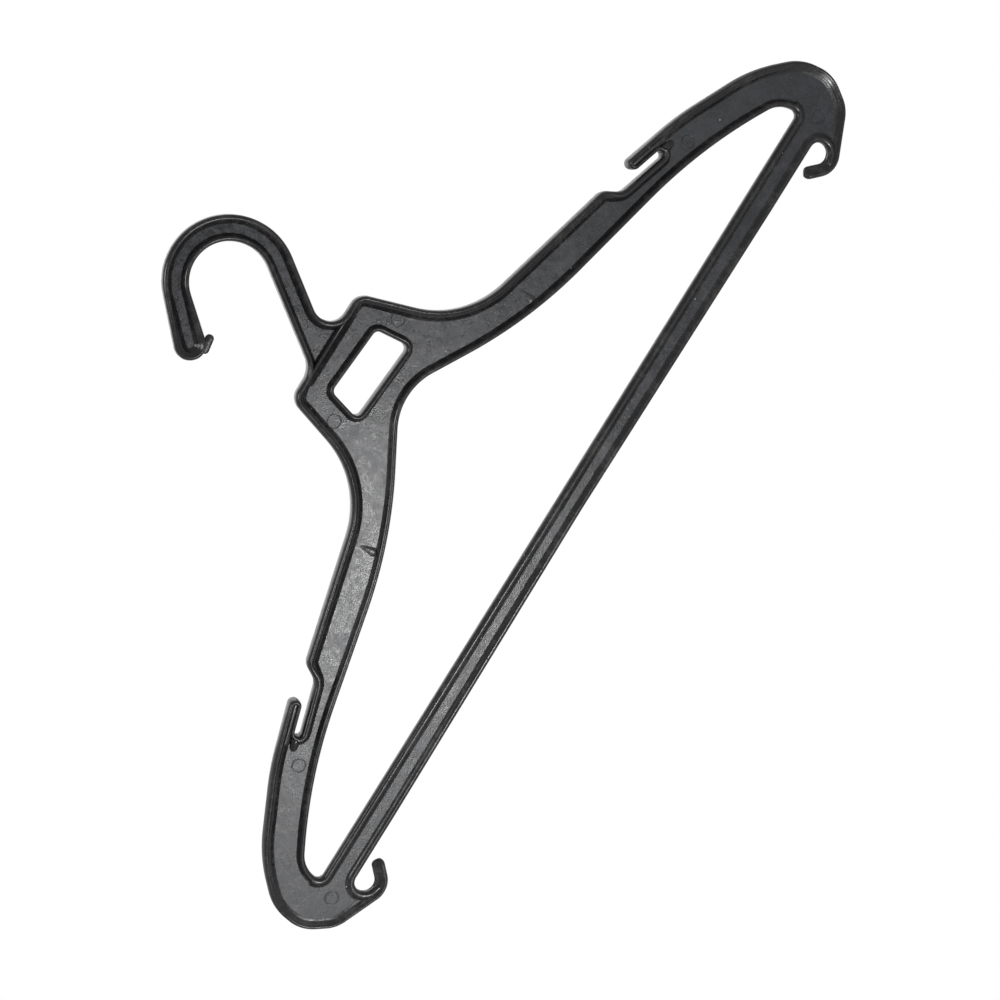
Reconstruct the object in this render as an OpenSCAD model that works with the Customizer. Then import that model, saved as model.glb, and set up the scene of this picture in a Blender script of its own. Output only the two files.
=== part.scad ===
// One-piece moulded clothes hanger, all lengths in millimetres.
// The hanger hangs upright: X runs along the shoulders, Z points up, the front faces -Y.
// The origin is the centre of the hook's rail seat, in the middle of the thickness.
// Outlines are lists of corners with a fillet each. A thin web fills them, and a rounded
// rim follows every edge and stands out of the web on both faces.

/* [Sections] */
// Thickness of the web between the rims
web_t = 2.2; // [1.6:0.1:3]
// Thickness of the rims on hook, plate and shoulders, front to back
rim_t = 8; // [7:0.1:9]
// Thickness of the rims on the trouser bar, front to back
bar_t = 5; // [4.4:0.1:6]
// Drop from the rail seat to where the rims start to get thinner
thinning_drop = 141; // [130:1:145]
// Height over which the rims get thinner
thinning_h = 21; // [15:1:24]
// Where a rim's flat crest starts, as a share of the rim's width from its outer edge
crest_start = 0.23; // [0.18:0.01:0.3]
// Where that crest ends
crest_end = 0.43; // [0.34:0.01:0.5]
// Height of a rim's steep outer side, as a share of half its thickness
rim_brow = 0.7; // [0.5:0.01:0.8]
// Height of a rim's slanting inner side before it drops to the web, as the same share
rim_fall = 0.5; // [0.4:0.01:0.6]
// Width of the outer rim on the shoulders
shoulder_rim_w = 4.8; // [4.2:0.1:5.2]
// Width of the outer rim on the centre plate
plate_rim_w = 4.6; // [4:0.1:5]
// Width of the rim under the arms, round the big opening
arm_rim_w = 3.5; // [3:0.1:4]
// Width of the rims along the trouser bar
bar_rim_w = 4.2; // [3.6:0.1:4.4]

/* [Hook] */
// Radius of the rail seat inside the hook
seat_r = 15.8; // [14:0.1:17]
// Width of the hook's strip
hook_w = 10.4; // [9.8:0.1:11.4]
// Width of the strip at the hook's tip
tip_w = 13.4; // [12.4:0.1:14.2]
// Lean of the stem away from upright
stem_lean = 34.7; // [32:0.1:37]
// Fall of the arm that ends in the tip, below level
tip_fall = 50; // [46:0.5:56]
// Length of the straight arm before the tip
tip_arm_l = 17.6; // [15:0.1:19]
// Width of the rim inside the hook
hook_in_rim_w = 3.3; // [3:0.1:3.6]
// Width of the rim outside the hook
hook_out_rim_w = 3.8; // [3.2:0.1:4.1]
// Width of the rim round the tip
tip_rim_w = 5; // [4:0.1:5.4]
// Fillet under the leaning side of the stem
stem_fillet_r = 7.3; // [6:0.1:9]
// Fillet on the stem's other side
stem_heel_r = 9.7; // [8:0.1:11]
// Length of the small toe under the tip
toe_l = 4.6; // [2:0.1:5]
// Thickness of that toe
toe_t = 2.4; // [1.8:0.1:3]
// Width of that toe
toe_w = 3.4; // [3:0.1:4]
// Direction of the toe's root from the middle of the tip, from level
toe_a = -78; // [-90:1:-70]
// Rise of the toe, above level
toe_rise = 9; // [0:1:20]

/* [Centre plate] */
// Drop from the rail seat's centre to the plate's top edge
plate_drop = 44.7; // [43.5:0.1:46]
// Width of the plate across its two top corners
plate_w = 49.6; // [48:0.1:53]
// Distance by which the plate's top sits to the left of the rail seat
plate_shift = 1.1; // [0:0.1:1.6]
// Radius of the plate's top corners
plate_corner_r = 6.3; // [5:0.1:8]
// Drop from the rail seat's centre to the window's top edge
window_drop = 57.7; // [57:0.1:58.5]
// Height of the window
window_h = 14.9; // [13.5:0.1:15.5]
// Width of the window at its top
window_top_w = 30; // [27:0.1:31]
// Width of the window at its bottom
window_bottom_w = 35.6; // [33:0.1:36.6]
// Angle by which the window sits out of level
window_skew = 3.8; // [0:0.1:4.5]
// Corner radius of the window
window_corner_r = 2.6; // [1.5:0.1:3.5]
// Width of the window's rim
window_rim_w = 3; // [2.4:0.1:3.2]

/* [Shoulders] */
// Distance from the middle to the corner between plate and shoulder
neck_x = 38.7; // [37.5:0.1:40]
// Drop from the rail seat's centre to that corner
neck_drop = 88; // [87:0.1:89]
// Radius of the hollow between plate and shoulder
neck_r = 41; // [24:1:42]
// Fall of the shoulder from the neck to the step, below level
shoulder_fall = 14.8; // [14.2:0.1:15.2]
// Drop from the rail seat's centre to the corner of the arch in the big opening
arch_drop = 80.2; // [79.5:0.1:81]
// Radius of that arch
arch_r = 26; // [20:1:30]
// Distance from the middle to the corner where the arm's underside gets flatter
under_x = 53; // [51:0.5:55]
// Drop from the rail seat's centre to that corner
under_drop = 110.9; // [110:0.1:112]
// Radius of the underside there
under_r = 200; // [120:5:200]
// Distance from the middle to the corner where the underside gets steeper
under_end_x = 152.6; // [150:0.1:155]
// Drop from the rail seat's centre to that corner
under_end_drop = 134.5; // [133.5:0.1:135.5]
// Radius of the underside there
under_end_r = 225; // [150:5:235]

/* [Strap notches] */
// Distance from the middle to the end of the strap slot
slot_x = 139.2; // [137.5:0.1:141]
// Drop from the rail seat's centre to the end of the strap slot
slot_drop = 120.2; // [119.5:0.1:121]
// Width of the slot under the tongue
slot_w = 3; // [2.6:0.1:3.4]
// Fall of the tongue and its slot, below level
strap_fall = 17.3; // [16.5:0.1:18]
// Length of the tongue beyond the slot's end
tongue_l = 13.2; // [11.5:0.1:14.5]
// Thickness of the tongue
tongue_h = 5.4; // [5:0.1:5.8]
// Width of each of the two thin rims on the tongue
tongue_rim_w = 2.5; // [2.2:0.1:2.6]
// Width of the rim round the slot's end
slot_rim_w = 4.2; // [3.6:0.1:4.6]
// Distance from the middle to the top of the step in the shoulder
step_x = 113.6; // [112:0.1:115]
// Distance along the slot from its end to the foot of the step
step_run = 21.8; // [20.5:0.1:23]
// Radius of the step's top and foot
step_r = 5.6; // [4.9:0.1:6.4]

/* [Ends and loops] */
// Width over the two shoulder ends
hanger_w = 420; // [417:0.5:424]
// Drop from the rail seat's centre to the bar's top edge
bar_drop = 163.2; // [162.5:0.1:164]
// Height of the trouser bar in its middle
bar_h = 11.4; // [10.4:0.1:12]
// Height that the bar gains towards the loops
bar_flare = 1.4; // [0:0.1:2]
// Distance from the hanger's end to the first bend of the shoulder
bend_1_inset = 52.9; // [48:0.1:56]
// Fall of the shoulder beyond the first bend, below level
bend_1_fall = 26; // [25:0.5:27]
// Distance from the hanger's end to the second bend
bend_2_inset = 18.2; // [17:0.1:20]
// Fall beyond the second bend
bend_2_fall = 45; // [43:0.5:46]
// Distance from the hanger's end to the third bend
bend_3_inset = 2.2; // [1.8:0.1:3]
// Fall beyond the third bend
bend_3_fall = 78; // [76:0.5:79]
// Fall of the end's foot, turning back inwards
end_foot_fall = 120; // [116:1:124]
// Drop from the rail seat's centre to the foot of the end
end_foot_drop = 166.9; // [165:0.1:168]
// Distance from the hanger's end to the round point of the big opening
point_inset = 20.9; // [20:0.1:22]
// Steepness of the opening's short side at that point
point_fall = 77.6; // [74:0.2:80]
// Radius above that point
point_top_r = 14; // [10:0.5:14.5]
// Radius below that point
point_foot_r = 2.5; // [2:0.1:2.7]
// Drop from the rail seat's centre to the top of the opening's short side
point_drop = 153.6; // [153:0.1:154.2]
// Radius over the shoulder's end
end_r = 23; // [18:1:25]
// Radius at the foot of the shoulder's end
end_foot_r = 17; // [14:1:18]
// Radius of the heel before the loop
heel_r = 15; // [10:1:18]
// Fall of the lower edge between heel and loop, below level
heel_fall = 26; // [24:0.5:28]
// Distance from the hanger's end to the middle of the loop's hole
loop_inset = 29.5; // [28.5:0.1:30.5]
// Radius of the loop's hole
loop_r = 4.5; // [4.1:0.1:4.7]
// Width of the loop's strip
loop_strip_w = 5.4; // [5:0.1:6]
// Length of the straight finger that ends the loop
finger_l = 5.2; // [4:0.1:6]
// Rise of that finger, above level
finger_rise = 45; // [42:1:50]

/* [Moulding marks] */
// Outer radius of the ejector marks
mark_r = 3.1; // [2.6:0.1:3.4]
// Width of the groove round an ejector mark
mark_groove_w = 0.6; // [0.4:0.1:0.8]
// Depth of that groove
mark_depth = 0.3; // [0.2:0.05:0.5]
// Height above the web of the small cross ribs in the shoulders
cross_rib_h = 0.6; // [0.4:0.1:1]
// Width of a cross rib at its wide foot
cross_rib_w = 4; // [3:0.1:4.5]
// Distance from the middle to each cross rib
cross_rib_x = 60.5; // [58:0.5:63]
// Distance from the middle to the ejector marks in the shoulders
shoulder_mark_x = 151; // [149:0.5:156]
// Drop from the rail seat's centre to those marks
shoulder_mark_drop = 128.2; // [127:0.1:129]
// Distance from the middle to the ejector marks above the loops
end_mark_x = 193; // [190:0.5:196]
// Drop from the rail seat's centre to those marks
end_mark_drop = 171.5; // [168:0.1:174]
// Distance from the middle to the ejector marks beside the window
plate_mark_x = 24; // [23:0.1:25]
// Drop from the rail seat's centre to those marks
plate_mark_drop = 64; // [62:0.1:68]

/* [Hidden] */
plastic = "#2b2b2d";
end_x = hanger_w / 2;
plate_z = -plate_drop;
bar_z = -bar_drop;
bar_foot_z = bar_z - bar_h;
hook_out_r = seat_r + hook_w;
outer_slant = 0.05;
inner_slant = 0.86;
sagitta = 0.05;
least_gap = 0.15;
web_inset = 1;
buried_rim = 0.97;
bar_foot_taper = 30;
point_lean = (bar_drop - point_drop) / tan(point_fall);
ridge_l = 32;
ridge_w = 1.2;
tiny = 0.02;
round_tip = 0.99;
bend_1_r = 120;
bend_2_r = 66;
bar_foot_r = 400;
wrap_a = -70;
pad_near = 2.6;
pad_far = 7;
pad_w = 4.4;
pad_t = 5.4;
disc_fn = 16;
mark_fn = 24;
cross_rib_low = 107;
cross_rib_high = 100.6;
cross_rib_lean = 0.8;
cross_rib_crest_w = 1;
cap_steps = 3;
cap_angle = 78;

// Unit vector at an angle, and the point at a distance from another
function heading(a) = [cos(a), sin(a)];
function along(p, a, l) = p + l * heading(a);
function flat(c) = [c.x, c.y];
function flip(p) = [for (i = [len(p) - 1:-1:0]) concat([-p[i].x], [for (j = [1:len(p[i]) - 1]) p[i][j]])];
function last(p) = p[len(p) - 1];
function backward(p) = [for (i = [len(p) - 1:-1:0]) p[i]];

// A corner is [x, z, fillet radius, rim width]
function bend(p, r, w) = [p.x, p.y, r, w];

// Where the line through p at angle a meets the line through q at angle b
function meet(p, a, q, b) =
    let (u = heading(a), v = heading(b), d = q - p)
    p + u * (d.x * v.y - d.y * v.x) / (u.x * v.y - u.y * v.x);

// Corners whose fillets join into one arc round a centre
function arc_bends(c, r, a0, a1, w, n = 3) =
    let (half = (a1 - a0) / n / 2)
    [for (i = [0:n - 1]) bend(along(c, a0 + (2 * i + 1) * half, r / cos(half)), r, w)];

// Points of one fillet as [x, z, normal x, normal z, rim width]; the normal points into the plastic
function fillet(before, here, after) =
    let (
        u = flat(here) - flat(before),
        v = flat(after) - flat(here),
        a = atan2(u.y, u.x),
        turn = atan2(u.x * v.y - u.y * v.x, u.x * v.x + u.y * v.y),
        s = sign(turn),
        r = here[2],
        tangent = along(flat(here), a, -r * tan(abs(turn) / 2)),
        c = along(tangent, a + s * 90, r),
        n = max(1, ceil(abs(turn) / (2 * acos(1 - sagitta / r))))
    )
    [for (i = [0:n])
        let (h = heading(a - s * 90 + turn * i / n))
        [c.x + r * h.x, c.y + r * h.y, s * h.x, s * h.y, here[3]]];

// Neighbouring fillets that touch share a point, which is kept once
function apart(p, q) = norm(flat(p) - flat(q)) > least_gap;
function thinned(q) = [for (i = [0:len(q) - 1]) if (i == 0 || apart(q[i], q[i - 1])) q[i]];
function path(c) = thinned([for (i = [1:len(c) - 2]) each fillet(c[i - 1], c[i], c[i + 1])]);
function loop(c) = path(concat([last(c)], c, [c[0]]));
// An open path keeps its two end corners as plain points
function end_point(p, toward, w) =
    let (u = (toward - p) / norm(toward - p)) [p.x, p.y, u.y, -u.x, w];
function open_path(c) =
    let (n = len(c) - 1)
    concat([end_point(flat(c[0]), flat(c[1]), c[0][3])],
           path(c),
           [end_point(flat(c[n]), 2 * flat(c[n]) - flat(c[n - 1]), c[n][3])]);

// Rims are thick down to the shoulders and thin on the bar
function rim_half_t(z) =
    let (f = min(1, max(0, (-z - thinning_drop) / thinning_h)))
    (rim_t + (bar_t - rim_t) * f * f * (3 - 2 * f)) / 2;

// Front half of a rim's section, from outer edge to inner edge, and the whole section
half_profile = [
    [0, 0], [outer_slant, rim_brow], [crest_start, 1], [crest_end, 1], [inner_slant, rim_fall], [1, 0]
];
rim_profile = concat(
    half_profile,
    [for (i = [len(half_profile) - 2:-1:1]) [half_profile[i].x, -half_profile[i].y]]
);
// Section of a rim across the path at q, moved along the path and scaled for rounded ends
function rim_section(q, shift = 0, scale = 1, height = 1) =
    let (
        n = [q[2], q[3]],
        c = flat(q) + n * q[4] / 2 + shift * [-n.y, n.x],
        h = rim_half_t(q.y) * height
    )
    [for (s = rim_profile)
        let (d = scale * (s.x - 1 / 2) * q[4])
        [c.x + n.x * d, -scale * s.y * h, c.y + n.y * d]];

// Faces between rings of points, closed into a loop or capped at both ends
function side_faces(rings, m, closed) =
    [for (i = [0:rings - (closed ? 1 : 2)], j = [0:m - 1])
        let (k = (i + 1) % rings, l = (j + 1) % m)
        [i * m + j, k * m + j, k * m + l, i * m + l]];
module rings(sections, closed) {
    m = len(sections[0]);
    n = len(sections);
    polyhedron(
        points = [for (s = sections) each s],
        faces = concat(
            side_faces(n, m, closed),
            closed ? [] : [[for (j = [0:m - 1]) j], [for (j = [m - 1:-1:0]) (n - 1) * m + j]]
        )
    );
}
module closed_rim(q) {
    rings([for (p = q) rim_section(p)], true);
}
// An open rim ends in a rounded nose
module open_rim(q, height = 1) {
    nose = [for (i = [0:cap_steps]) cap_angle * i / cap_steps];
    first = q[0];
    end = last(q);
    rings(concat(
        [for (i = [cap_steps:-1:0]) rim_section(first, -sin(nose[i]) * first[4] / 2, cos(nose[i]), height)],
        [for (i = [1:len(q) - 2]) rim_section(q[i], 0, 1, height)],
        [for (a = nose) rim_section(end, sin(a) * end[4] / 2, cos(a), height)]
    ), false);
}

// Top of the plate and the hook: up the stem, round the seat, out to the tip and back
function stem_foot(r) = meet(along([0, 0], -stem_lean, r), 90 - stem_lean, [0, plate_z], 0);
tip_a = 90 + tip_fall;
tip_inner = along(along([0, 0], tip_a, seat_r), tip_a + 90, tip_arm_l + tip_w / 2);
tip_outer = along(tip_inner, tip_a, tip_w);
tip_middle = along((tip_inner + tip_outer) / 2, tip_a - 90, tip_w / 2);
tip_touch_a = atan2(tip_outer.y, tip_outer.x) - acos(hook_out_r / norm(tip_outer));
tip_r = round_tip * tip_w / (1 + tan((90 + tip_a - tip_touch_a) / 2));
function plate_corner(side) =
    bend([side * plate_w / 2 - plate_shift, plate_z], plate_corner_r, plate_rim_w);
hook_bends = concat(
    [plate_corner(-1), bend(stem_foot(seat_r), stem_heel_r, hook_in_rim_w)],
    arc_bends([0, 0], seat_r, -stem_lean, tip_a, hook_in_rim_w),
    [bend(tip_inner, tip_r, tip_rim_w), bend(tip_outer, tip_r, tip_rim_w)],
    arc_bends([0, 0], hook_out_r, tip_touch_a, -stem_lean, hook_out_rim_w),
    [bend(stem_foot(hook_out_r), stem_fillet_r, hook_out_rim_w), plate_corner(1)]
);

// Strap notch: the slot's two sides, the tongue above it and the step before it
slot_c = [slot_x, -slot_drop];
slot_end = along(slot_c, -strap_fall, slot_w / 2);
slot_low = along(slot_end, -strap_fall - 90, slot_w / 2);
slot_high = along(slot_end, -strap_fall + 90, slot_w / 2);
tongue_low = along(slot_high, 180 - strap_fall, tongue_l + slot_w / 2);
tongue_high = along(tongue_low, 90 - strap_fall, tongue_h);
neck = [neck_x, -neck_drop];
step_top = meet(neck, -shoulder_fall, [step_x, 0], 90);
step_foot = along(slot_low, 180 - strap_fall, step_run + slot_w / 2);

// Shoulder's end: straight lines at growing falls, rounded off by the fillets
bend_1 = meet(tongue_high, -strap_fall, [end_x - bend_1_inset, 0], 90);
bend_2 = meet(bend_1, -bend_1_fall, [end_x - bend_2_inset, 0], 90);
bend_3 = meet(bend_2, -bend_2_fall, [end_x - bend_3_inset, 0], 90);
end_foot = meet(bend_3, -bend_3_fall, [0, -end_foot_drop], 0);

// Loop under the end: a strip round the hole that ends in a straight finger
loop_c = [end_x - loop_inset, bar_foot_z - bar_flare - loop_r];
strip_r = loop_r + loop_strip_w;
heel_touch = along(loop_c, heel_fall - 90, strip_r);
heel = meet(end_foot, -end_foot_fall, heel_touch, heel_fall);
finger_a = 180 - finger_rise;
finger_touch_a = finger_a - 270;
finger_foot = along(along(loop_c, finger_touch_a, strip_r), finger_a, finger_l);
finger_out = along(finger_foot, finger_a, loop_strip_w / 2);
finger_in = along(finger_out, finger_a - 90, loop_strip_w);

shoulder_bends = concat(
    [
        bend(neck, neck_r, shoulder_rim_w),
        bend(step_top, step_r, shoulder_rim_w),
        bend(step_foot, step_r, slot_rim_w),
        bend(slot_low, round_tip * slot_w / 2, slot_rim_w),
        bend(slot_high, round_tip * slot_w / 2, tongue_rim_w),
        bend(tongue_low, round_tip * tongue_h / 2, tongue_rim_w),
        bend(tongue_high, round_tip * tongue_h / 2, tongue_rim_w),
        bend(bend_1, bend_1_r, shoulder_rim_w),
        bend(bend_2, bend_2_r, shoulder_rim_w),
        bend(bend_3, end_r, shoulder_rim_w),
        bend(end_foot, end_foot_r, shoulder_rim_w),
        bend(heel, heel_r, shoulder_rim_w)
    ],
    arc_bends(loop_c, strip_r, heel_fall - 90, finger_touch_a, loop_strip_w)
);
strip_end = bend(finger_foot, 0, loop_strip_w);
outer_bends = concat(flip([strip_end]), flip(shoulder_bends), hook_bends, shoulder_bends, [strip_end]);

// Lower rim of the bar: it wraps the loop's hole and ends inside the strip
wrap_end = along(along(loop_c, wrap_a, loop_r), wrap_a - 90, loop_strip_w / 2);
bar_foot = [end_x - loop_inset - bar_foot_taper, bar_foot_z - bar_flare];
hole_bends = concat(
    arc_bends(loop_c, loop_r, wrap_a, 90, bar_rim_w),
    [bend(bar_foot, bar_foot_r, bar_rim_w)]
);
bar_middle = [bend([0, bar_foot_z], bar_foot_r, bar_rim_w)];
rim_end = [bend(wrap_end, 0, bar_rim_w)];
bar_foot_bends = concat(rim_end, hole_bends, bar_middle, flip(hole_bends), flip(rim_end));

// Whole outline for the web, with the two fingers closed
finger_bends = [
    bend(finger_out, round_tip * loop_strip_w / 2, 0),
    bend(finger_in, round_tip * loop_strip_w / 2, 0)
];
loop_bends = concat(finger_bends, arc_bends(loop_c, loop_r, finger_touch_a, wrap_a, 0, 1), hole_bends);
outline_bends = concat(
    flip(shoulder_bends), hook_bends, shoulder_bends, loop_bends, bar_middle, flip(loop_bends)
);

// Big opening, in the order that keeps the plastic on the right
under_bends = [
    bend([under_x, -under_drop], under_r, arm_rim_w),
    bend([under_end_x, -under_end_drop], under_end_r, arm_rim_w),
    bend([end_x - point_inset - point_lean, -point_drop], point_top_r, arm_rim_w),
    bend([end_x - point_inset, bar_z], point_foot_r, bar_rim_w)
];
opening_bends = backward(concat(flip(under_bends), [bend([0, -arch_drop], arch_r, arm_rim_w)], under_bends));

// Window
function window_corner(x, z) =
    bend([0, -window_drop - window_h / 2] + x * heading(-window_skew) + z * heading(90 - window_skew),
         window_corner_r, window_rim_w);
window_bends = [
    window_corner(-window_top_w / 2, window_h / 2),
    window_corner(-window_bottom_w / 2, -window_h / 2),
    window_corner(window_bottom_w / 2, -window_h / 2),
    window_corner(window_top_w / 2, window_h / 2)
];

outer_path = open_path(outer_bends);
bar_foot_path = open_path(bar_foot_bends);
opening_path = loop(opening_bends);
window_path = loop(window_bends);

// Thin web between the rims
module pane(q) {
    polygon([for (p = q) flat(p) + web_inset * [p[2], p[3]]]);
}
module upright(t) {
    rotate([90, 0, 0]) linear_extrude(t, center = true) children();
}
module web() {
    color(plastic) upright(web_t) difference() {
        pane(loop(outline_bends));
        pane(opening_path);
        pane(window_path);
    }
}

// Rims
module outer_rim() {
    color(plastic) open_rim(outer_path);
}
module bar_foot_rim() {
    color(plastic) open_rim(bar_foot_path, buried_rim);
}
module opening_rim() {
    color(plastic) closed_rim(opening_path);
}
module window_rim() {
    color(plastic) closed_rim(window_path);
}
// Ridge across the foot of the stem
module plate_ridge() {
    color(plastic) hull() {
        for (x = [-ridge_l, ridge_l] / 2) {
            translate([x, 0, plate_z - plate_rim_w / 2]) disc(ridge_w, buried_rim * rim_t);
            translate([x, 0, plate_z - plate_rim_w / 2]) disc(buried_rim * plate_rim_w, web_t);
        }
    }
}

// Round pad with its axis front to back
module disc(d, t) {
    rotate([90, 0, 0]) cylinder(d = d, h = t, center = true, $fn = disc_fn);
}

// Pad that joins the slot's end to the rim above it
module slot_pad(side) {
    color(plastic) hull() {
        for (l = [pad_near, pad_far]) {
            p = along(slot_c, -strap_fall, l);
            translate([side * p.x, 0, p.y]) disc(pad_w, pad_t);
        }
    }
}

// Low wedge across the channel of a shoulder, widest at the lower rim
module cross_rib(side, face) {
    x = side * cross_rib_x;
    y = face * web_t / 2;
    color(plastic) hull() {
        translate([x, y, -cross_rib_low]) disc(cross_rib_w, tiny);
        translate([x, y, -cross_rib_low]) disc(cross_rib_crest_w, 2 * cross_rib_h);
        translate([x + side * cross_rib_lean, y, -cross_rib_high]) disc(cross_rib_crest_w, tiny);
    }
}

// Small toe under the hook's tip
module toe() {
    root = along(tip_middle, toe_a, tip_w / 2);
    color(plastic) hull() {
        for (l = [0, toe_l]) {
            p = along(root, toe_rise, l);
            translate([p.x, 0, p.y]) disc(toe_w, toe_t);
        }
    }
}

// Shallow ring left by an ejector pin, cut into the front of the web
module ejector_mark(x, drop) {
    translate([x, -web_t / 2, -drop]) rotate([90, 0, 0]) difference() {
        cylinder(r = mark_r, h = 2 * mark_depth, center = true, $fn = mark_fn);
        cylinder(r = mark_r - mark_groove_w, h = web_t, center = true, $fn = mark_fn);
    }
}

module hanger() {
    difference() {
        web();
        for (side = [-1, 1]) {
            ejector_mark(side * shoulder_mark_x, shoulder_mark_drop);
            ejector_mark(side * end_mark_x, end_mark_drop);
            ejector_mark(side * plate_mark_x, plate_mark_drop);
        }
    }
    outer_rim();
    bar_foot_rim();
    opening_rim();
    window_rim();
    plate_ridge();
    toe();
    for (side = [-1, 1]) {
        slot_pad(side);
        for (face = [-1, 1]) cross_rib(side, face);
    }
}

hanger();
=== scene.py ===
from math import acos, atan2, ceil, cos, degrees, hypot, pi, radians, sin, tan

import bmesh
import bpy
from mathutils import Matrix, Vector


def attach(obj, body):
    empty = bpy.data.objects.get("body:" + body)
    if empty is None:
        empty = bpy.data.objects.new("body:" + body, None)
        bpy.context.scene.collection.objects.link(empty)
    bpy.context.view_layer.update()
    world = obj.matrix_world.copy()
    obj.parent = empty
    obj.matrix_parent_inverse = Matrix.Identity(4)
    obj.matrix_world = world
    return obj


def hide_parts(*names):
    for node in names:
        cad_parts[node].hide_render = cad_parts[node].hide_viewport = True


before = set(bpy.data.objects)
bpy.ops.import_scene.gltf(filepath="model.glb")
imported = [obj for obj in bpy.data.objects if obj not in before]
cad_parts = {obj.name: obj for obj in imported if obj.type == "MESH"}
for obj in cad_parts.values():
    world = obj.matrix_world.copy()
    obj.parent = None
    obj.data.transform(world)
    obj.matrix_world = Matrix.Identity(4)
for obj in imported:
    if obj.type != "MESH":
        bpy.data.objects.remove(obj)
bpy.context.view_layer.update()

MM = 0.001

# Sizes in millimetres, named much as in the CAD source. The origin is the centre of the hook's rail
# seat, X runs along the shoulders and Z points up. "Inset" is measured in from the hanger's end,
# "fall" in degrees below level.
WEB_T = 2.2
RIM_T = 8.0
BAR_T = 5.0
THINNING_DROP = 141.0
THINNING_H = 21.0
SHOULDER_RIM_W = 4.8
PLATE_RIM_W = 4.6
ARM_RIM_W = 3.5
BAR_RIM_W = 4.2

# Hook
SEAT_R = 15.8
HOOK_W = 10.4
TIP_W = 13.4
STEM_LEAN = 34.7
TIP_FALL = 50.0
TIP_ARM_L = 17.6
HOOK_IN_RIM_W = 3.3
HOOK_OUT_RIM_W = 3.8
TIP_RIM_W = 5.0
STEM_FILLET_R = 7.3
STEM_HEEL_R = 9.7
TOE_L = 4.6
TOE_T = 2.4
TOE_W = 3.4
TOE_A = -78.0
TOE_RISE = 9.0

# Centre plate and its window
PLATE_Z = -44.7
PLATE_W = 49.6
PLATE_SHIFT = 1.1
PLATE_CORNER_R = 6.3
WINDOW_Z = -65.15
WINDOW_H = 14.9
WINDOW_TOP_W = 30.0
WINDOW_BOTTOM_W = 35.6
WINDOW_SKEW = 3.8
WINDOW_CORNER_R = 2.6
WINDOW_RIM_W = 3.0

# Shoulders
NECK = (38.7, -88.0)
NECK_R = 41.0
SHOULDER_FALL = 14.8
ARCH = (0.0, -80.2)
ARCH_R = 26.0
UNDER = (53.0, -110.9)
UNDER_R = 200.0
UNDER_END = (152.6, -134.5)
UNDER_END_R = 225.0

# Strap notches
SLOT_C = (139.2, -120.2)
SLOT_W = 3.0
STRAP_FALL = 17.3
TONGUE_L = 13.2
TONGUE_H = 5.4
TONGUE_RIM_W = 2.75
SLOT_RIM_W = 4.2
STEP_X = 113.6
STEP_RUN = 21.8
STEP_R = 5.6

# Ends, bar and loops. The end and the strip stay a hair inside the CAD box.
END_X = 209.97
BAR_Z = -163.2
BAR_H = 11.4
BAR_FLARE = 1.4
BAR_FLARE_L = 30.0
BAR_FOOT_R = 400.0
BEND_1_INSET, BEND_1_FALL, BEND_1_R = 52.9, 26.0, 120.0
BEND_2_INSET, BEND_2_FALL, BEND_2_R = 18.2, 45.0, 66.0
BEND_3_INSET, BEND_3_FALL, BEND_3_R = 2.2, 78.0, 23.0
END_FOOT_Z, END_FOOT_FALL, END_FOOT_R = -166.9, 120.0, 17.0
HEEL_FALL = 26.0
HEEL_R = 15.0
POINT_INSET = 20.9
POINT_RISE = 9.6
POINT_FALL = 77.6
POINT_TOP_R = 14.0
POINT_FOOT_R = 2.5
LOOP_INSET = 29.47
LOOP_R = 4.5
STRIP_W = 5.39
FINGER_L = 5.2
FINGER_A = 135.0
WRAP_A = -70.0

# Small forms on the web: ridge under the stem, slot pads, tongue cores, cross ribs, ejector marks
RIDGE_L = 32.0
PAD_NEAR, PAD_W, PAD_T = 4.0, 4.4, 5.4
PAD_FAR, PAD_FAR_W, PAD_FAR_T = 7.0, 3.2, 3.4
CORE_BACK, CORE_W, CORE_T = 5.0, 4.4, 6.2
CROSS_RIB_X = 60.5
CROSS_RIB_LOW, CROSS_RIB_HIGH = -107.0, -100.6
CROSS_RIB_LEAN = 0.8
CROSS_RIB_H = 0.6
CROSS_RIB_W = 4.0
CROSS_RIB_CREST_W = 1.0
MARKS = ((151.0, -128.2), (193.0, -171.5), (24.0, -64.0))
MARK_R = 3.1
MARK_GROOVE_W = 0.6
MARK_DEPTH = 0.16

# How the meshes are made. SAGITTA is how far a fillet's chords stray from its arc, LEAST_GAP the
# least distance between path points, ROUND_TIP the share of a full half circle at a round tip, and
# BURIED the height of a rim that ends inside a taller one. Angles are in degrees, and WELD and
# FLAT_NEAR in metres.
SAGITTA = 0.008
LEAST_GAP = 0.04
ROUND_TIP = 0.99
BURIED = 0.97
WEB_INSET = 1.0
TINY = 0.02
WELD = 1e-6
DOME_ANGLES = (0, 20, 40, 60, 80)
NOSE_ANGLES = (0, 18, 36, 52, 66, 78)
DISC_STEPS = 48
MARK_STEPS = 64
GROOVE_SIDES = 10
SHARP_ANGLE = 38
FLAT_NEAR = 2e-6
FLAT_NORMAL = 0.9999


# Plane geometry: points are (x, z), a corner is (x, z, fillet radius, rim width)
def along(p, angle, length):
    return (p[0] + length * cos(radians(angle)), p[1] + length * sin(radians(angle)))


def meet(p, a, q, b):
    """Where the line through p at angle a meets the line through q at angle b."""
    ua, va = cos(radians(a)), sin(radians(a))
    ub, vb = cos(radians(b)), sin(radians(b))
    s = ((q[0] - p[0]) * vb - (q[1] - p[1]) * ub) / (ua * vb - va * ub)
    return (p[0] + s * ua, p[1] + s * va)


def bend(p, r, w):
    return (p[0], p[1], r, w)


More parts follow.
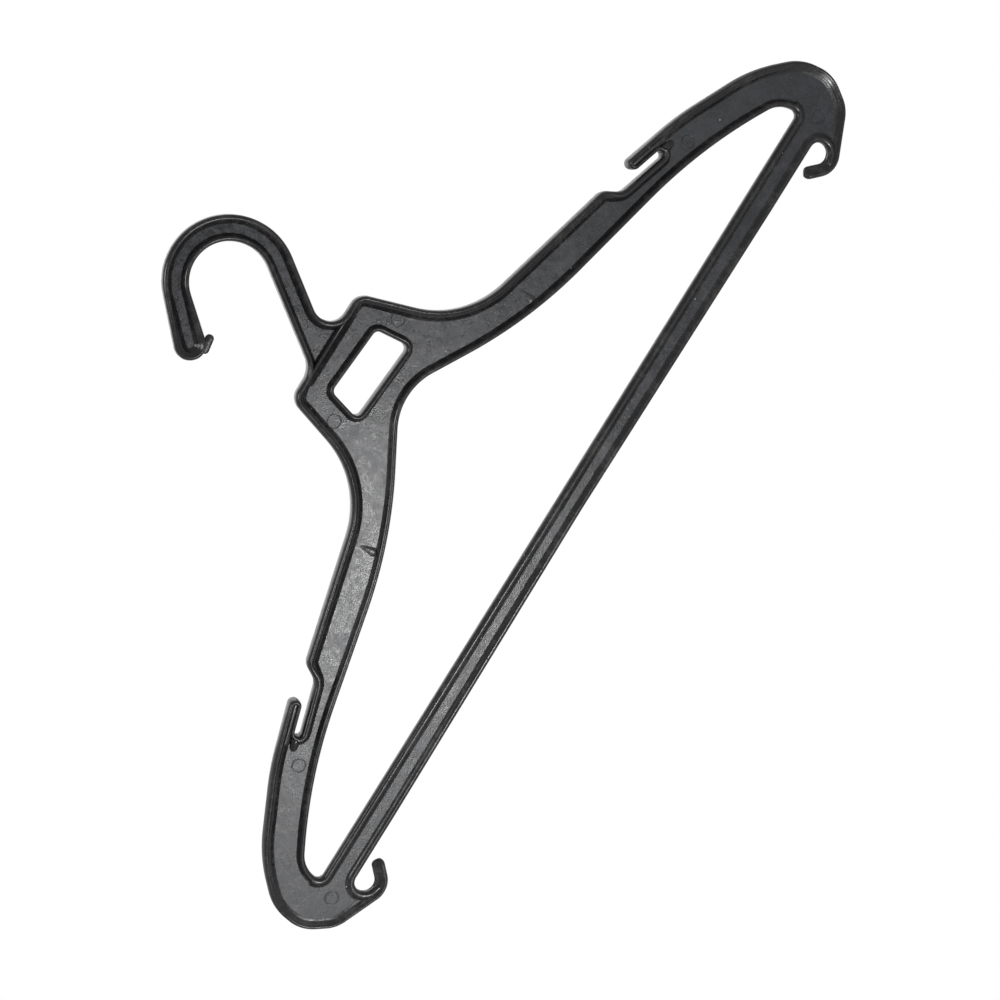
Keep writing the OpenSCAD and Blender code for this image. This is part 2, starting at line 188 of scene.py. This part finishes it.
def arc_bends(c, r, a0, a1, w, n=3):
    """Corners whose fillets join into one arc round c."""
    half = (a1 - a0) / n / 2
    return [bend(along(c, a0 + (2 * i + 1) * half, r / cos(radians(half))), r, w) for i in range(n)]


def flip(corners):
    """The same corners on the other half of the hanger."""
    return [(-c[0],) + tuple(c[1:]) for c in reversed(corners)]


def fillet(before, here, after):
    """Points of one fillet as (x, z, normal x, normal z, width); the normal points into the plastic."""
    u = (here[0] - before[0], here[1] - before[1])
    v = (after[0] - here[0], after[1] - here[1])
    a = degrees(atan2(u[1], u[0]))
    turn = degrees(atan2(u[0] * v[1] - u[1] * v[0], u[0] * v[0] + u[1] * v[1]))
    side = 1 if turn > 0 else -1
    r = here[2]
    tangent = along(here, a, -r * tan(radians(abs(turn) / 2)))
    c = along(tangent, a + side * 90, r)
    steps = max(1, ceil(radians(abs(turn)) / (2 * acos(1 - SAGITTA / r))))
    points = []
    for i in range(steps + 1):
        b = radians(a - side * 90 + turn * i / steps)
        points.append((c[0] + r * cos(b), c[1] + r * sin(b), side * cos(b), side * sin(b), here[3]))
    return points


def path(corners):
    """Points along the fillets of all corners but the first and last, which only give directions."""
    points = []
    for i in range(1, len(corners) - 1):
        for q in fillet(corners[i - 1], corners[i], corners[i + 1]):
            if not points or hypot(q[0] - points[-1][0], q[1] - points[-1][1]) > LEAST_GAP:
                points.append(q)
    return points


def closed_path(corners):
    return path([corners[-1]] + corners + [corners[0]])


def end_point(p, toward, w):
    """End of an open path at p, facing towards the next point."""
    d = hypot(toward[0] - p[0], toward[1] - p[1])
    u = ((toward[0] - p[0]) / d, (toward[1] - p[1]) / d)
    return (p[0], p[1], u[1], -u[0], w)


def open_path(corners):
    first, second = corners[0], corners[1]
    last, before = corners[-1], corners[-2]
    beyond = (2 * last[0] - before[0], 2 * last[1] - before[1])
    return [end_point(first, second, first[3])] + path(corners) + [end_point(last, beyond, last[3])]


# Places worked out from the sizes
TIP_A = 90 + TIP_FALL
TIP_IN = along(along((0, 0), TIP_A, SEAT_R), TIP_A + 90, TIP_ARM_L + TIP_W / 2)
TIP_OUT = along(TIP_IN, TIP_A, TIP_W)
TIP_MIDDLE = along(along(TIP_IN, TIP_A, TIP_W / 2), TIP_A - 90, TIP_W / 2)
BAR_FOOT_Z = BAR_Z - BAR_H
LOOP_C = (END_X - LOOP_INSET, BAR_FOOT_Z - BAR_FLARE - LOOP_R)
STRIP_R = LOOP_R + STRIP_W
FINGER_TOUCH_A = FINGER_A - 270
FINGER_FOOT = along(along(LOOP_C, FINGER_TOUCH_A, STRIP_R), FINGER_A, FINGER_L)


# Outlines, each in the order that keeps the plastic on the right
def stem_foot(r):
    return meet(along((0, 0), -STEM_LEAN, r), 90 - STEM_LEAN, (0, PLATE_Z), 0)


def plate_corner(side):
    return bend((side * PLATE_W / 2 - PLATE_SHIFT, PLATE_Z), PLATE_CORNER_R, PLATE_RIM_W)


def hook_corners():
    outer_r = SEAT_R + HOOK_W
    touch = degrees(atan2(TIP_OUT[1], TIP_OUT[0]) - acos(outer_r / hypot(*TIP_OUT)))
    tip_r = ROUND_TIP * TIP_W / (1 + tan(radians((90 + TIP_A - touch) / 2)))
    return (
        [plate_corner(-1), bend(stem_foot(SEAT_R), STEM_HEEL_R, HOOK_IN_RIM_W)]
        + arc_bends((0, 0), SEAT_R, -STEM_LEAN, TIP_A, HOOK_IN_RIM_W)
        + [bend(TIP_IN, tip_r, TIP_RIM_W), bend(TIP_OUT, tip_r, TIP_RIM_W)]
        + arc_bends((0, 0), outer_r, touch, -STEM_LEAN, HOOK_OUT_RIM_W)
        + [bend(stem_foot(outer_r), STEM_FILLET_R, HOOK_OUT_RIM_W), plate_corner(1)]
    )


def shoulder_corners():
    slot_end = along(SLOT_C, -STRAP_FALL, SLOT_W / 2)
    slot_low = along(slot_end, -STRAP_FALL - 90, SLOT_W / 2)
    slot_high = along(slot_end, -STRAP_FALL + 90, SLOT_W / 2)
    tongue_low = along(slot_high, 180 - STRAP_FALL, TONGUE_L + SLOT_W / 2)
    tongue_high = along(tongue_low, 90 - STRAP_FALL, TONGUE_H)
    bend_1 = meet(tongue_high, -STRAP_FALL, (END_X - BEND_1_INSET, 0), 90)
    bend_2 = meet(bend_1, -BEND_1_FALL, (END_X - BEND_2_INSET, 0), 90)
    bend_3 = meet(bend_2, -BEND_2_FALL, (END_X - BEND_3_INSET, 0), 90)
    end_foot = meet(bend_3, -BEND_3_FALL, (0, END_FOOT_Z), 0)
    heel = meet(end_foot, -END_FOOT_FALL, along(LOOP_C, HEEL_FALL - 90, STRIP_R), HEEL_FALL)
    return [
        bend(NECK, NECK_R, SHOULDER_RIM_W),
        bend(meet(NECK, -SHOULDER_FALL, (STEP_X, 0), 90), STEP_R, SHOULDER_RIM_W),
        bend(along(slot_low, 180 - STRAP_FALL, STEP_RUN + SLOT_W / 2), STEP_R, SLOT_RIM_W),
        bend(slot_low, ROUND_TIP * SLOT_W / 2, SLOT_RIM_W),
        bend(slot_high, ROUND_TIP * SLOT_W / 2, TONGUE_RIM_W),
        bend(tongue_low, ROUND_TIP * TONGUE_H / 2, TONGUE_RIM_W),
        bend(tongue_high, ROUND_TIP * TONGUE_H / 2, TONGUE_RIM_W),
        bend(bend_1, BEND_1_R, SHOULDER_RIM_W),
        bend(bend_2, BEND_2_R, SHOULDER_RIM_W),
        bend(bend_3, BEND_3_R, SHOULDER_RIM_W),
        bend(end_foot, END_FOOT_R, SHOULDER_RIM_W),
        bend(heel, HEEL_R, SHOULDER_RIM_W),
    ] + arc_bends(LOOP_C, STRIP_R, HEEL_FALL - 90, FINGER_TOUCH_A, STRIP_W)


def hole_corners():
    flare = (LOOP_C[0] - BAR_FLARE_L, BAR_FOOT_Z - BAR_FLARE)
    wrap = arc_bends(LOOP_C, LOOP_R, WRAP_A, 90, BAR_RIM_W)
    return wrap + [bend(flare, BAR_FOOT_R, BAR_RIM_W)]


def bar_middle():
    return [bend((0, BAR_FOOT_Z), BAR_FOOT_R, BAR_RIM_W)]


def outer_path():
    """From the left loop's finger over shoulders, plate and hook to the right loop's finger."""
    end = [bend(FINGER_FOOT, 0, STRIP_W)]
    return open_path(flip(end) + flip(shoulder_corners()) + hook_corners() + shoulder_corners() + end)


def bar_foot_path():
    """Along the foot of the bar, round the inside of both loops."""
    wrap_end = along(along(LOOP_C, WRAP_A, LOOP_R), WRAP_A - 90, STRIP_W / 2)
    end = [bend(wrap_end, 0, BAR_RIM_W)]
    return open_path(end + hole_corners() + bar_middle() + flip(hole_corners()) + flip(end))


def web_outline():
    finger_out = along(FINGER_FOOT, FINGER_A, STRIP_W / 2)
    finger_in = along(finger_out, FINGER_A - 90, STRIP_W)
    nose_r = ROUND_TIP * STRIP_W / 2
    loop = [bend(finger_out, nose_r, 0), bend(finger_in, nose_r, 0)]
    loop += arc_bends(LOOP_C, LOOP_R, FINGER_TOUCH_A, WRAP_A, 0, 1) + hole_corners()
    top = flip(shoulder_corners()) + hook_corners() + shoulder_corners()
    return closed_path(top + loop + bar_middle() + flip(loop))


def opening_path():
    point_x = END_X - POINT_INSET
    lean = POINT_RISE / tan(radians(POINT_FALL))
    half = [
        bend(UNDER, UNDER_R, ARM_RIM_W),
        bend(UNDER_END, UNDER_END_R, ARM_RIM_W),
        bend((point_x - lean, BAR_Z + POINT_RISE), POINT_TOP_R, ARM_RIM_W),
        bend((point_x, BAR_Z), POINT_FOOT_R, BAR_RIM_W),
    ]
    clockwise = flip(half) + [bend(ARCH, ARCH_R, ARM_RIM_W)] + half
    return closed_path(list(reversed(clockwise)))


def window_path():
    top, foot, half_h = WINDOW_TOP_W / 2, WINDOW_BOTTOM_W / 2, WINDOW_H / 2
    corners = []
    for x, z in ((-top, half_h), (-foot, -half_h), (foot, -half_h), (top, half_h)):
        place = along(along((0, WINDOW_Z), -WINDOW_SKEW, x), 90 - WINDOW_SKEW, z)
        corners.append(bend(place, WINDOW_CORNER_R, WINDOW_RIM_W))
    return closed_path(corners)


# Rims: a closed section is swept along each path, thick down to the shoulders and thin on the bar.
# A side lists (share of the width from the outer edge, share of half the thickness). Narrow rims
# have a round back, wide ones a crest with a ledge beside it, and widths between are blended.
NARROW_SIDE = (
    (0.0, 0.0), (0.02, 0.35), (0.045, 0.6), (0.09, 0.78), (0.16, 0.9), (0.25, 0.965),
    (0.33, 0.995), (0.39, 1.0), (0.45, 0.99), (0.53, 0.95), (0.62, 0.86), (0.71, 0.73),
    (0.79, 0.59), (0.86, 0.45),
)
WIDE_SIDE = (
    (0.0, 0.0), (0.02, 0.35), (0.04, 0.58), (0.08, 0.77), (0.13, 0.89), (0.18, 0.96),
    (0.23, 0.995), (0.265, 1.0), (0.30, 0.985), (0.40, 0.87), (0.50, 0.76), (0.575, 0.725),
    (0.66, 0.62), (0.80, 0.44),
)
NARROW_W, WIDE_W = 4.2, 4.7
BEFORE_CREST = 7
RIM_SHRINK = 0.999
FOOT_STEP = 0.13
# A rim's soft foot lists (share of the width, height over the web in millimetres)
FOOT = ((0.95, 0.11), (0.98, 0.03), (1.01, -0.03))
FOOT_END = 0.93


def half_t(z):
    """Half a rim's thickness at height z, thinning smoothly towards the bar."""
    f = min(1.0, max(0.0, (-z - THINNING_DROP) / THINNING_H))
    return (RIM_T + (BAR_T - RIM_T) * f * f * (3 - 2 * f)) / 2


def section_shape(w, h):
    """Half section as (distance into the plastic, height), with a soft foot on the web."""
    foot = WEB_T / 2
    wide = min(1.0, max(0.0, (w - NARROW_W) / (WIDE_W - NARROW_W)))
    side = []
    for i, (a, b) in enumerate(zip(NARROW_SIDE, WIDE_SIDE)):
        d, y = (p + (q - p) * wide for p, q in zip(a, b))
        low = 0.0 if i < BEFORE_CREST else foot + FOOT_STEP * (len(NARROW_SIDE) - i)
        side.append((d * w, max(y * h * RIM_SHRINK, low)))
    side += [(share * w, foot + rise) for share, rise in FOOT]
    return side + [(FOOT_END * w, 0.0)]


def section(q, shift=0.0, scale=1.0, height=1.0):
    """A rim's section at a path point, moved along the path and scaled about its middle."""
    x, z, nx, nz, w = q
    shape = section_shape(w, half_t(z) * height)
    ring = shape + [(d, -y) for d, y in reversed(shape[1:-1])]
    cx, cz = x + shift * -nz, z + shift * nx
    out = []
    for d, y in ring:
        e = w / 2 + (d - w / 2) * scale
        out.append((cx + nx * e, y * scale, cz + nz * e))
    return out


def add_object(name, data):
    obj = bpy.data.objects.new(name, data)
    bpy.context.scene.collection.objects.link(obj)
    return obj


def solid(name, rings, closed):
    """Closed surface through rings of equally many points, joined up or with flat ends."""
    n, m = len(rings), len(rings[0])
    points = [tuple(c * MM for c in p) for ring in rings for p in ring]
    faces = []
    for i in range(n if closed else n - 1):
        for j in range(m):
            i2, j2 = (i + 1) % n, (j + 1) % m
            faces.append((i * m + j, i * m + j2, i2 * m + j2, i2 * m + j))
    if not closed:
        faces.append(tuple(range(m - 1, -1, -1)))
        faces.append(tuple((n - 1) * m + j for j in range(m)))
    mesh = bpy.data.meshes.new(name)
    mesh.from_pydata(points, [], faces)
    bm = bmesh.new()
    bm.from_mesh(mesh)
    bmesh.ops.recalc_face_normals(bm, faces=bm.faces)
    bmesh.ops.triangulate(bm, faces=bm.faces)
    bm.to_mesh(mesh)
    bm.free()
    return add_object(name, mesh)


def closed_rim(name, points):
    return solid(name, [section(q) for q in points], True)


def nose(q, sign, angle, height):
    """One ring of a rim's rounded end."""
    return section(q, sign * sin(radians(angle)) * q[4] / 2, cos(radians(angle)), height)


def open_rim(name, points, height=1.0):
    rings = [nose(points[0], -1, a, height) for a in reversed(NOSE_ANGLES)]
    rings += [section(q, 0, 1, height) for q in points[1:-1]]
    rings += [nose(points[-1], 1, a, height) for a in NOSE_ANGLES]
    return solid(name, rings, False)


def plate(name, outlines, thickness):
    """Flat sheet between outlines, standing in the hanger's plane."""
    curve = bpy.data.curves.new(name, "CURVE")
    curve.dimensions = "2D"
    curve.fill_mode = "BOTH"
    curve.extrude = thickness / 2 * MM
    for points in outlines:
        spline = curve.splines.new("POLY")
        spline.points.add(len(points) - 1)
        for p, q in zip(spline.points, points):
            p.co = (q[0] * MM, q[1] * MM, 0, 1)
        spline.use_cyclic_u = True
    flat = bpy.data.objects.new(name, curve)
    mesh = bpy.data.meshes.new_from_object(flat)
    bpy.data.objects.remove(flat)
    mesh.transform(Matrix.Rotation(pi / 2, 4, "X"))
    bm = bmesh.new()
    bm.from_mesh(mesh)
    bmesh.ops.remove_doubles(bm, verts=bm.verts, dist=WELD)
    bmesh.ops.recalc_face_normals(bm, faces=bm.faces)
    bm.to_mesh(mesh)
    bm.free()
    return add_object(name, mesh)


def inset(points, distance):
    """Path points moved into the plastic."""
    return [(q[0] + distance * q[2], q[1] + distance * q[3]) for q in points]


def disc_solid(name, discs):
    """Convex solid round discs given as (x, y, z, diameter, thickness), each facing the front."""
    bm = bmesh.new()
    for x, y, z, d, t in discs:
        for i in range(DISC_STEPS):
            a = 2 * pi * i / DISC_STEPS
            px, pz = x + d / 2 * cos(a), z + d / 2 * sin(a)
            for side in (-1, 1):
                bm.verts.new((px * MM, (y + side * t / 2) * MM, pz * MM))
    made = bmesh.ops.convex_hull(bm, input=bm.verts)
    spare = list(set(made["geom_interior"] + made["geom_unused"]))
    bmesh.ops.delete(bm, geom=spare, context="VERTS")
    bmesh.ops.recalc_face_normals(bm, faces=bm.faces)
    mesh = bpy.data.meshes.new(name)
    bm.to_mesh(mesh)
    bm.free()
    return add_object(name, mesh)


def combine(body, others, operation):
    """Joins the others to the body or cuts them out of it, and drops them."""
    for o in others:
        step = body.modifiers.new(o.name, "BOOLEAN")
        step.operation = operation
        step.solver = "MANIFOLD"
        step.object = o
    bpy.context.view_layer.update()
    result = body.evaluated_get(bpy.context.evaluated_depsgraph_get())
    mesh = bpy.data.meshes.new_from_object(result)
    body.modifiers.clear()
    body.data = mesh
    for o in others:
        bpy.data.objects.remove(o)
    return body


def ridge():
    """Ridge across the foot of the stem, which joins the plate's rim on both sides of it."""
    ends = [(x, PLATE_Z, 0.0, -1.0, PLATE_RIM_W) for x in (-RIDGE_L / 2, RIDGE_L / 2)]
    return open_rim("ridge", ends, BURIED)


def toe_solid():
    """Small toe inside the hook's tip, domed on both faces."""
    root = along(TIP_MIDDLE, TOE_A, TIP_W / 2)
    discs = []
    for length in (0, TOE_L):
        x, z = along(root, TOE_RISE, length)
        for a in DOME_ANGLES:
            discs.append((x, 0, z, TOE_W * cos(radians(a)), TOE_T / 2 * (1 + sin(radians(a)))))
    return disc_solid("toe", discs)


def domed(x, z, width, thick):
    """Discs of a dome that rises from the web on both faces."""
    rise = thick - WEB_T
    return [(x, 0, z, width * cos(radians(a)), WEB_T + rise * sin(radians(a))) for a in DOME_ANGLES]


def pad_solid(side):
    """Pad that joins the slot's end to the rim above it."""
    discs = []
    for length, width, thick in ((PAD_NEAR, PAD_W, PAD_T), (PAD_FAR, PAD_FAR_W, PAD_FAR_T)):
        x, z = along(SLOT_C, -STRAP_FALL, length)
        discs += domed(side * x, z, width, thick)
    return disc_solid("pad", discs)


def tongue_core(side):
    """Fills the tongue between its two thin rims, up to a shallow groove."""
    root = along(SLOT_C, -STRAP_FALL + 90, (SLOT_W + TONGUE_H) / 2)
    discs = []
    for length in (-CORE_BACK, TONGUE_L - TONGUE_H / 2):
        x, z = along(root, 180 - STRAP_FALL, length)
        discs += domed(side * x, z, CORE_W, CORE_T)
    return disc_solid("core", discs)


def cross_rib_solid(side, face):
    """Low wedge across the channel of a shoulder, widest at the lower rim."""
    x, y = side * CROSS_RIB_X, face * WEB_T / 2
    return disc_solid("cross_rib", [
        (x, y, CROSS_RIB_LOW, CROSS_RIB_W, TINY),
        (x, y, CROSS_RIB_LOW, CROSS_RIB_CREST_W, 2 * CROSS_RIB_H),
        (x + side * CROSS_RIB_LEAN, y, CROSS_RIB_HIGH, CROSS_RIB_CREST_W, TINY),
    ])


def groove_solid(x, z):
    """Ring that cuts a shallow round-bottomed groove, left by an ejector pin, into the front."""
    middle_r = MARK_R - MARK_GROOVE_W / 2
    rings = []
    for i in range(MARK_STEPS):
        a = 2 * pi * i / MARK_STEPS
        ring = []
        for j in range(GROOVE_SIDES):
            b = 2 * pi * j / GROOVE_SIDES
            d = middle_r + MARK_GROOVE_W / 2 * cos(b)
            ring.append((x + d * cos(a), -WEB_T / 2 + MARK_DEPTH * sin(b), z + d * sin(a)))
        rings.append(ring)
    return solid("groove", rings, True)


def flatten_web(mesh):
    """The web's flat faces keep one normal each, so that long triangles leave no streaks."""
    for face in mesh.polygons:
        level = abs(abs(face.center.y) - WEB_T / 2 * MM) < FLAT_NEAR
        face.use_smooth = not (level and abs(face.normal.y) > FLAT_NORMAL)


def build_hanger():
    opening, window = opening_path(), window_path()
    outlines = [inset(q, WEB_INSET) for q in (web_outline(), opening, window)]
    body = plate("hanger_moulding", outlines, WEB_T)
    parts = [
        open_rim("outer", outer_path()),
        open_rim("bar_foot", bar_foot_path(), BURIED),
        closed_rim("opening", opening),
        closed_rim("window", window),
        ridge(),
        toe_solid(),
    ]
    for side in (-1, 1):
        parts += [pad_solid(side), tongue_core(side)]
        parts += [cross_rib_solid(side, face) for face in (-1, 1)]
    body = combine(body, parts, "UNION")
    grooves = [groove_solid(side * x, z) for side in (-1, 1) for x, z in MARKS]
    body = combine(body, grooves, "DIFFERENCE")
    body.data.shade_smooth()
    body.data.set_sharp_from_angle(angle=radians(SHARP_ANGLE))
    flatten_web(body.data)
    return body


class Shader:
    """Short names for making and wiring nodes."""

    def __init__(self, name):
        self.material = bpy.data.materials.new(name)
        self.material.use_nodes = True
        self.tree = self.material.node_tree
        self.surface = self.tree.nodes["Principled BSDF"]
        self.place = self.tree.nodes.new("ShaderNodeTexCoord").outputs

    def wire(self, value, socket):
        if hasattr(value, "links"):
            self.tree.links.new(value, socket)
        else:
            socket.default_value = value

    def math(self, operation, a, b=0.0, clamp=False):
        node = self.tree.nodes.new("ShaderNodeMath")
        node.operation = operation
        node.use_clamp = clamp
        self.wire(a, node.inputs[0])
        self.wire(b, node.inputs[1])
        return node.outputs[0]

    def ramp(self, value, low, high, out_low=0.0, out_high=1.0):
        node = self.tree.nodes.new("ShaderNodeMapRange")
        node.interpolation_type = "SMOOTHSTEP"
        for socket, v in zip(node.inputs, (value, low, high, out_low, out_high)):
            self.wire(v, socket)
        return node.outputs[0]

    def noise(self, scale, detail=2.0, rough=0.5):
        node = self.tree.nodes.new("ShaderNodeTexNoise")
        self.wire(self.place["Object"], node.inputs["Vector"])
        node.inputs["Scale"].default_value = scale
        node.inputs["Detail"].default_value = detail
        node.inputs["Roughness"].default_value = rough
        return node.outputs["Fac"]

    def cells(self, scale):
        node = self.tree.nodes.new("ShaderNodeTexVoronoi")
        self.wire(self.place["Object"], node.inputs["Vector"])
        node.inputs["Scale"].default_value = scale
        return node.outputs["Distance"], node.outputs["Color"]

    def parts(self, vector):
        node = self.tree.nodes.new("ShaderNodeSeparateXYZ")
        self.wire(vector, node.inputs[0])
        return node.outputs

    def blend(self, factor, a, b):
        node = self.tree.nodes.new("ShaderNodeMix")
        node.data_type = "RGBA"
        self.wire(factor, node.inputs["Factor"])
        self.wire(a, node.inputs[6])
        self.wire(b, node.inputs[7])
        return node.outputs[2]

    def bump(self, height, distance):
        node = self.tree.nodes.new("ShaderNodeBump")
        node.inputs["Strength"].default_value = 1
        node.inputs["Distance"].default_value = distance
        self.wire(height, node.inputs["Height"])
        return node.outputs[0]


# Black polypropylene: the web is a little bluer than the rims and painted a little paler, a painted
# sheen that stands in for the front light on its flat faces; both are mottled and dusty.
# Scales are noise features per metre. Ranges are (from, to), and those called roughness add up.
RIM_BLACK = (0.013, 0.012, 0.013, 1)
RIM_WORN = (0.034, 0.032, 0.031, 1)
# Web tones: random mottle between these two ends, set paler overall than the rims as painted sheen.
WEB_DARK = (0.010, 0.0115, 0.0145, 1)
WEB_PALE = (0.027, 0.0295, 0.0345, 1)
DUST = (0.55, 0.54, 0.52, 1)
WEB_TOP, RIM_FOOT = 1.13 * MM, 1.18 * MM
SLANTED, LEVEL = 0.75, 0.95
PATCH_SCALE, MOTTLE_SCALE, GRAIN_SCALE, WAVE_SCALE = 55, 420, 2000, 160
WEB_MOTTLE = (0.38, 0.64)
RIM_MOTTLE = (0.22, 0.38)
DUST_CELLS, DUST_R, DUST_CHANCE, DUST_COVER = 210, 0.075, 0.66, 0.75
PATCH_ROUGHNESS = (0.19, 0.25)
WEB_ROUGHER = 0.03
MOTTLE_ROUGHNESS = (-0.05, 0.06)
GRAIN_ROUGHNESS = (-0.07, 0.08)
GRAIN_ON_RIM, GRAIN_ON_WEB, WAVE_PART = 0.06, 0.22, 0.4
BUMP_H = 0.3 * MM


def web_mask(m):
    """1 on the flat web, 0 on the rims: low in the thickness and facing the front or back."""
    height = m.math("ABSOLUTE", m.parts(m.place["Object"])[1])
    facing = m.math("ABSOLUTE", m.parts(m.place["Normal"])[1])
    low = m.ramp(height, WEB_TOP, RIM_FOOT, 1.0, 0.0)
    return m.math("MULTIPLY", low, m.ramp(facing, SLANTED, LEVEL))


def dusted(m, colour):
    """Adds a few pale specks of dust of different sizes."""
    distance, cell = m.cells(DUST_CELLS)
    chance = m.parts(cell)
    near = m.math("LESS_THAN", distance, m.math("MULTIPLY", chance[1], DUST_R))
    speck = m.math("MULTIPLY", near, m.math("GREATER_THAN", chance[0], DUST_CHANCE))
    return m.blend(m.math("MULTIPLY", speck, DUST_COVER), colour, DUST)


def plastic():
    m = Shader("black_polypropylene")
    # The web mask places the painted sheen: flat faces facing front or back get the paler web tones,
    # the rims the darker ones.
    web = web_mask(m)
    patches = m.noise(PATCH_SCALE, 3.0, 0.6)
    mottle = m.noise(MOTTLE_SCALE, 4.0, 0.65)
    grain = m.noise(GRAIN_SCALE, 2.0, 0.6)

    both = m.math("ADD", m.math("MULTIPLY", mottle, 0.5), m.math("MULTIPLY", patches, 0.5))
    web_mottle_and_sheen = m.blend(m.ramp(both, *WEB_MOTTLE), WEB_DARK, WEB_PALE)
    rim_tone = m.ramp(m.math("MULTIPLY", mottle, patches), *RIM_MOTTLE)
    rim_colour = m.blend(rim_tone, RIM_BLACK, RIM_WORN)
    colour = m.blend(web, rim_colour, web_mottle_and_sheen)
    m.wire(dusted(m, colour), m.surface.inputs["Base Color"])

    rough = m.ramp(patches, 0.3, 0.7, *PATCH_ROUGHNESS)
    rough = m.math("ADD", rough, m.math("MULTIPLY", web, WEB_ROUGHER))
    rough = m.math("ADD", rough, m.ramp(mottle, 0.35, 0.65, *MOTTLE_ROUGHNESS))
    rough = m.math("ADD", rough, m.ramp(grain, 0.3, 0.7, *GRAIN_ROUGHNESS), True)
    m.wire(rough, m.surface.inputs["Roughness"])

    fine = m.math("MULTIPLY", grain, m.ramp(web, 0.0, 1.0, GRAIN_ON_RIM, GRAIN_ON_WEB))
    wave = m.math("MULTIPLY", m.noise(WAVE_SCALE), WAVE_PART)
    m.wire(m.bump(m.math("ADD", fine, wave), BUMP_H), m.surface.inputs["Normal"])
    return m.material


hanger = build_hanger()
hanger.data.materials.clear()
hanger.data.materials.append(plastic())
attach(hanger, "root")
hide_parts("hanger")


# Camera, as the photo was taken: from above, with the hanger's shoulders running up the frame
CAM_PLACE = Vector((-29.07, -699.45, 112.83)) * MM
CAM_TILT = radians(20.0)
CAM_YAW = radians(1.1353)
CAM_ROLL = radians(57.6578)
LENS = 64.8
SENSOR_W = 36
CLIP_START = 0.01


def place_camera():
    flat = cos(CAM_TILT)
    forward = Vector((sin(CAM_YAW) * flat, cos(CAM_YAW) * flat, -sin(CAM_TILT)))
    level = forward.cross(Vector((0, 0, 1))).normalized()
    down = forward.cross(level)
    right = cos(CAM_ROLL) * level + sin(CAM_ROLL) * down
    below = -sin(CAM_ROLL) * level + cos(CAM_ROLL) * down
    turn = Matrix((right, -below, -forward)).transposed().to_4x4()
    data = bpy.data.cameras.new("camera")
    data.lens = LENS
    data.sensor_width = SENSOR_W
    data.clip_start = CLIP_START
    camera = add_object("camera", data)
    camera.matrix_world = Matrix.Translation(CAM_PLACE) @ turn
    bpy.context.scene.camera = camera


# Studio light: name, place, target, width, height in metres, power in watts
LAMPS = (
    ("front", (-0.27, -0.85, -0.49), (0.0, 0.0, -0.1), 0.7, 0.36, 3.6),
    ("glare", (-0.13, -0.85, -0.375), (-0.07, 0.0, -0.1), 0.18, 0.1, 1.9),
    ("right", (0.35, -0.85, -0.42), (0.1, 0.0, -0.12), 0.5, 0.45, 0.5),
    ("above", (-0.38, -0.25, 0.65), (0.0, 0.0, -0.1), 0.35, 0.35, 2.5),
    ("behind", (0.1, 1.6, 0.2), (0.0, 0.0, -0.1), 1.6, 1.0, 5.0),
)
FLOOR_Z = -0.5
FLOOR_HALF = 4.0
FLOOR_GREY = (0.8, 0.8, 0.8, 1)
FLOOR_ROUGHNESS = 0.9
SKY_LEVEL = 0.4
WHITE = (1, 1, 1, 1)


def lamp(name, place, target, width, height, power):
    data = bpy.data.lights.new(name, "AREA")
    data.shape = "RECTANGLE"
    data.size = width
    data.size_y = height
    data.energy = power
    obj = add_object(name, data)
    obj.location = place
    aim = Vector(target) - Vector(place)
    obj.rotation_euler = aim.to_track_quat("-Z", "Y").to_euler()


def camera_white(tree, lit, white, output):
    """Shows white to the camera and the lit surface to all other rays, for a pale background."""
    light_path = tree.nodes.new("ShaderNodeLightPath")
    mix = tree.nodes.new("ShaderNodeMixShader")
    tree.links.new(light_path.outputs["Is Camera Ray"], mix.inputs[0])
    tree.links.new(lit, mix.inputs[1])
    tree.links.new(white, mix.inputs[2])
    tree.links.new(mix.outputs[0], tree.nodes[output].inputs["Surface"])


def floor():
    s, z = FLOOR_HALF, FLOOR_Z
    mesh = bpy.data.meshes.new("floor")
    mesh.from_pydata([(-s, -s, z), (s, -s, z), (s, s, z), (-s, s, z)], [], [(0, 1, 2, 3)])
    material = bpy.data.materials.new("pale_floor")
    material.use_nodes = True
    tree = material.node_tree
    shader = tree.nodes["Principled BSDF"]
    shader.inputs["Base Color"].default_value = FLOOR_GREY
    shader.inputs["Roughness"].default_value = FLOOR_ROUGHNESS
    white = tree.nodes.new("ShaderNodeEmission")
    camera_white(tree, shader.outputs[0], white.outputs[0], "Material Output")
    mesh.materials.append(material)
    return add_object("floor", mesh)


def sky():
    world = bpy.data.worlds.new("studio")
    world.use_nodes = True
    tree = world.node_tree
    lit = tree.nodes["Background"]
    lit.inputs["Color"].default_value = WHITE
    lit.inputs["Strength"].default_value = SKY_LEVEL
    white = tree.nodes.new("ShaderNodeBackground")
    white.inputs["Color"].default_value = WHITE
    white.inputs["Strength"].default_value = 1
    camera_white(tree, lit.outputs[0], white.outputs[0], "World Output")
    bpy.context.scene.world = world


place_camera()
for settings in LAMPS:
    lamp(*settings)
floor()
sky()

bpy.context.scene.view_settings.view_transform = "Standard"
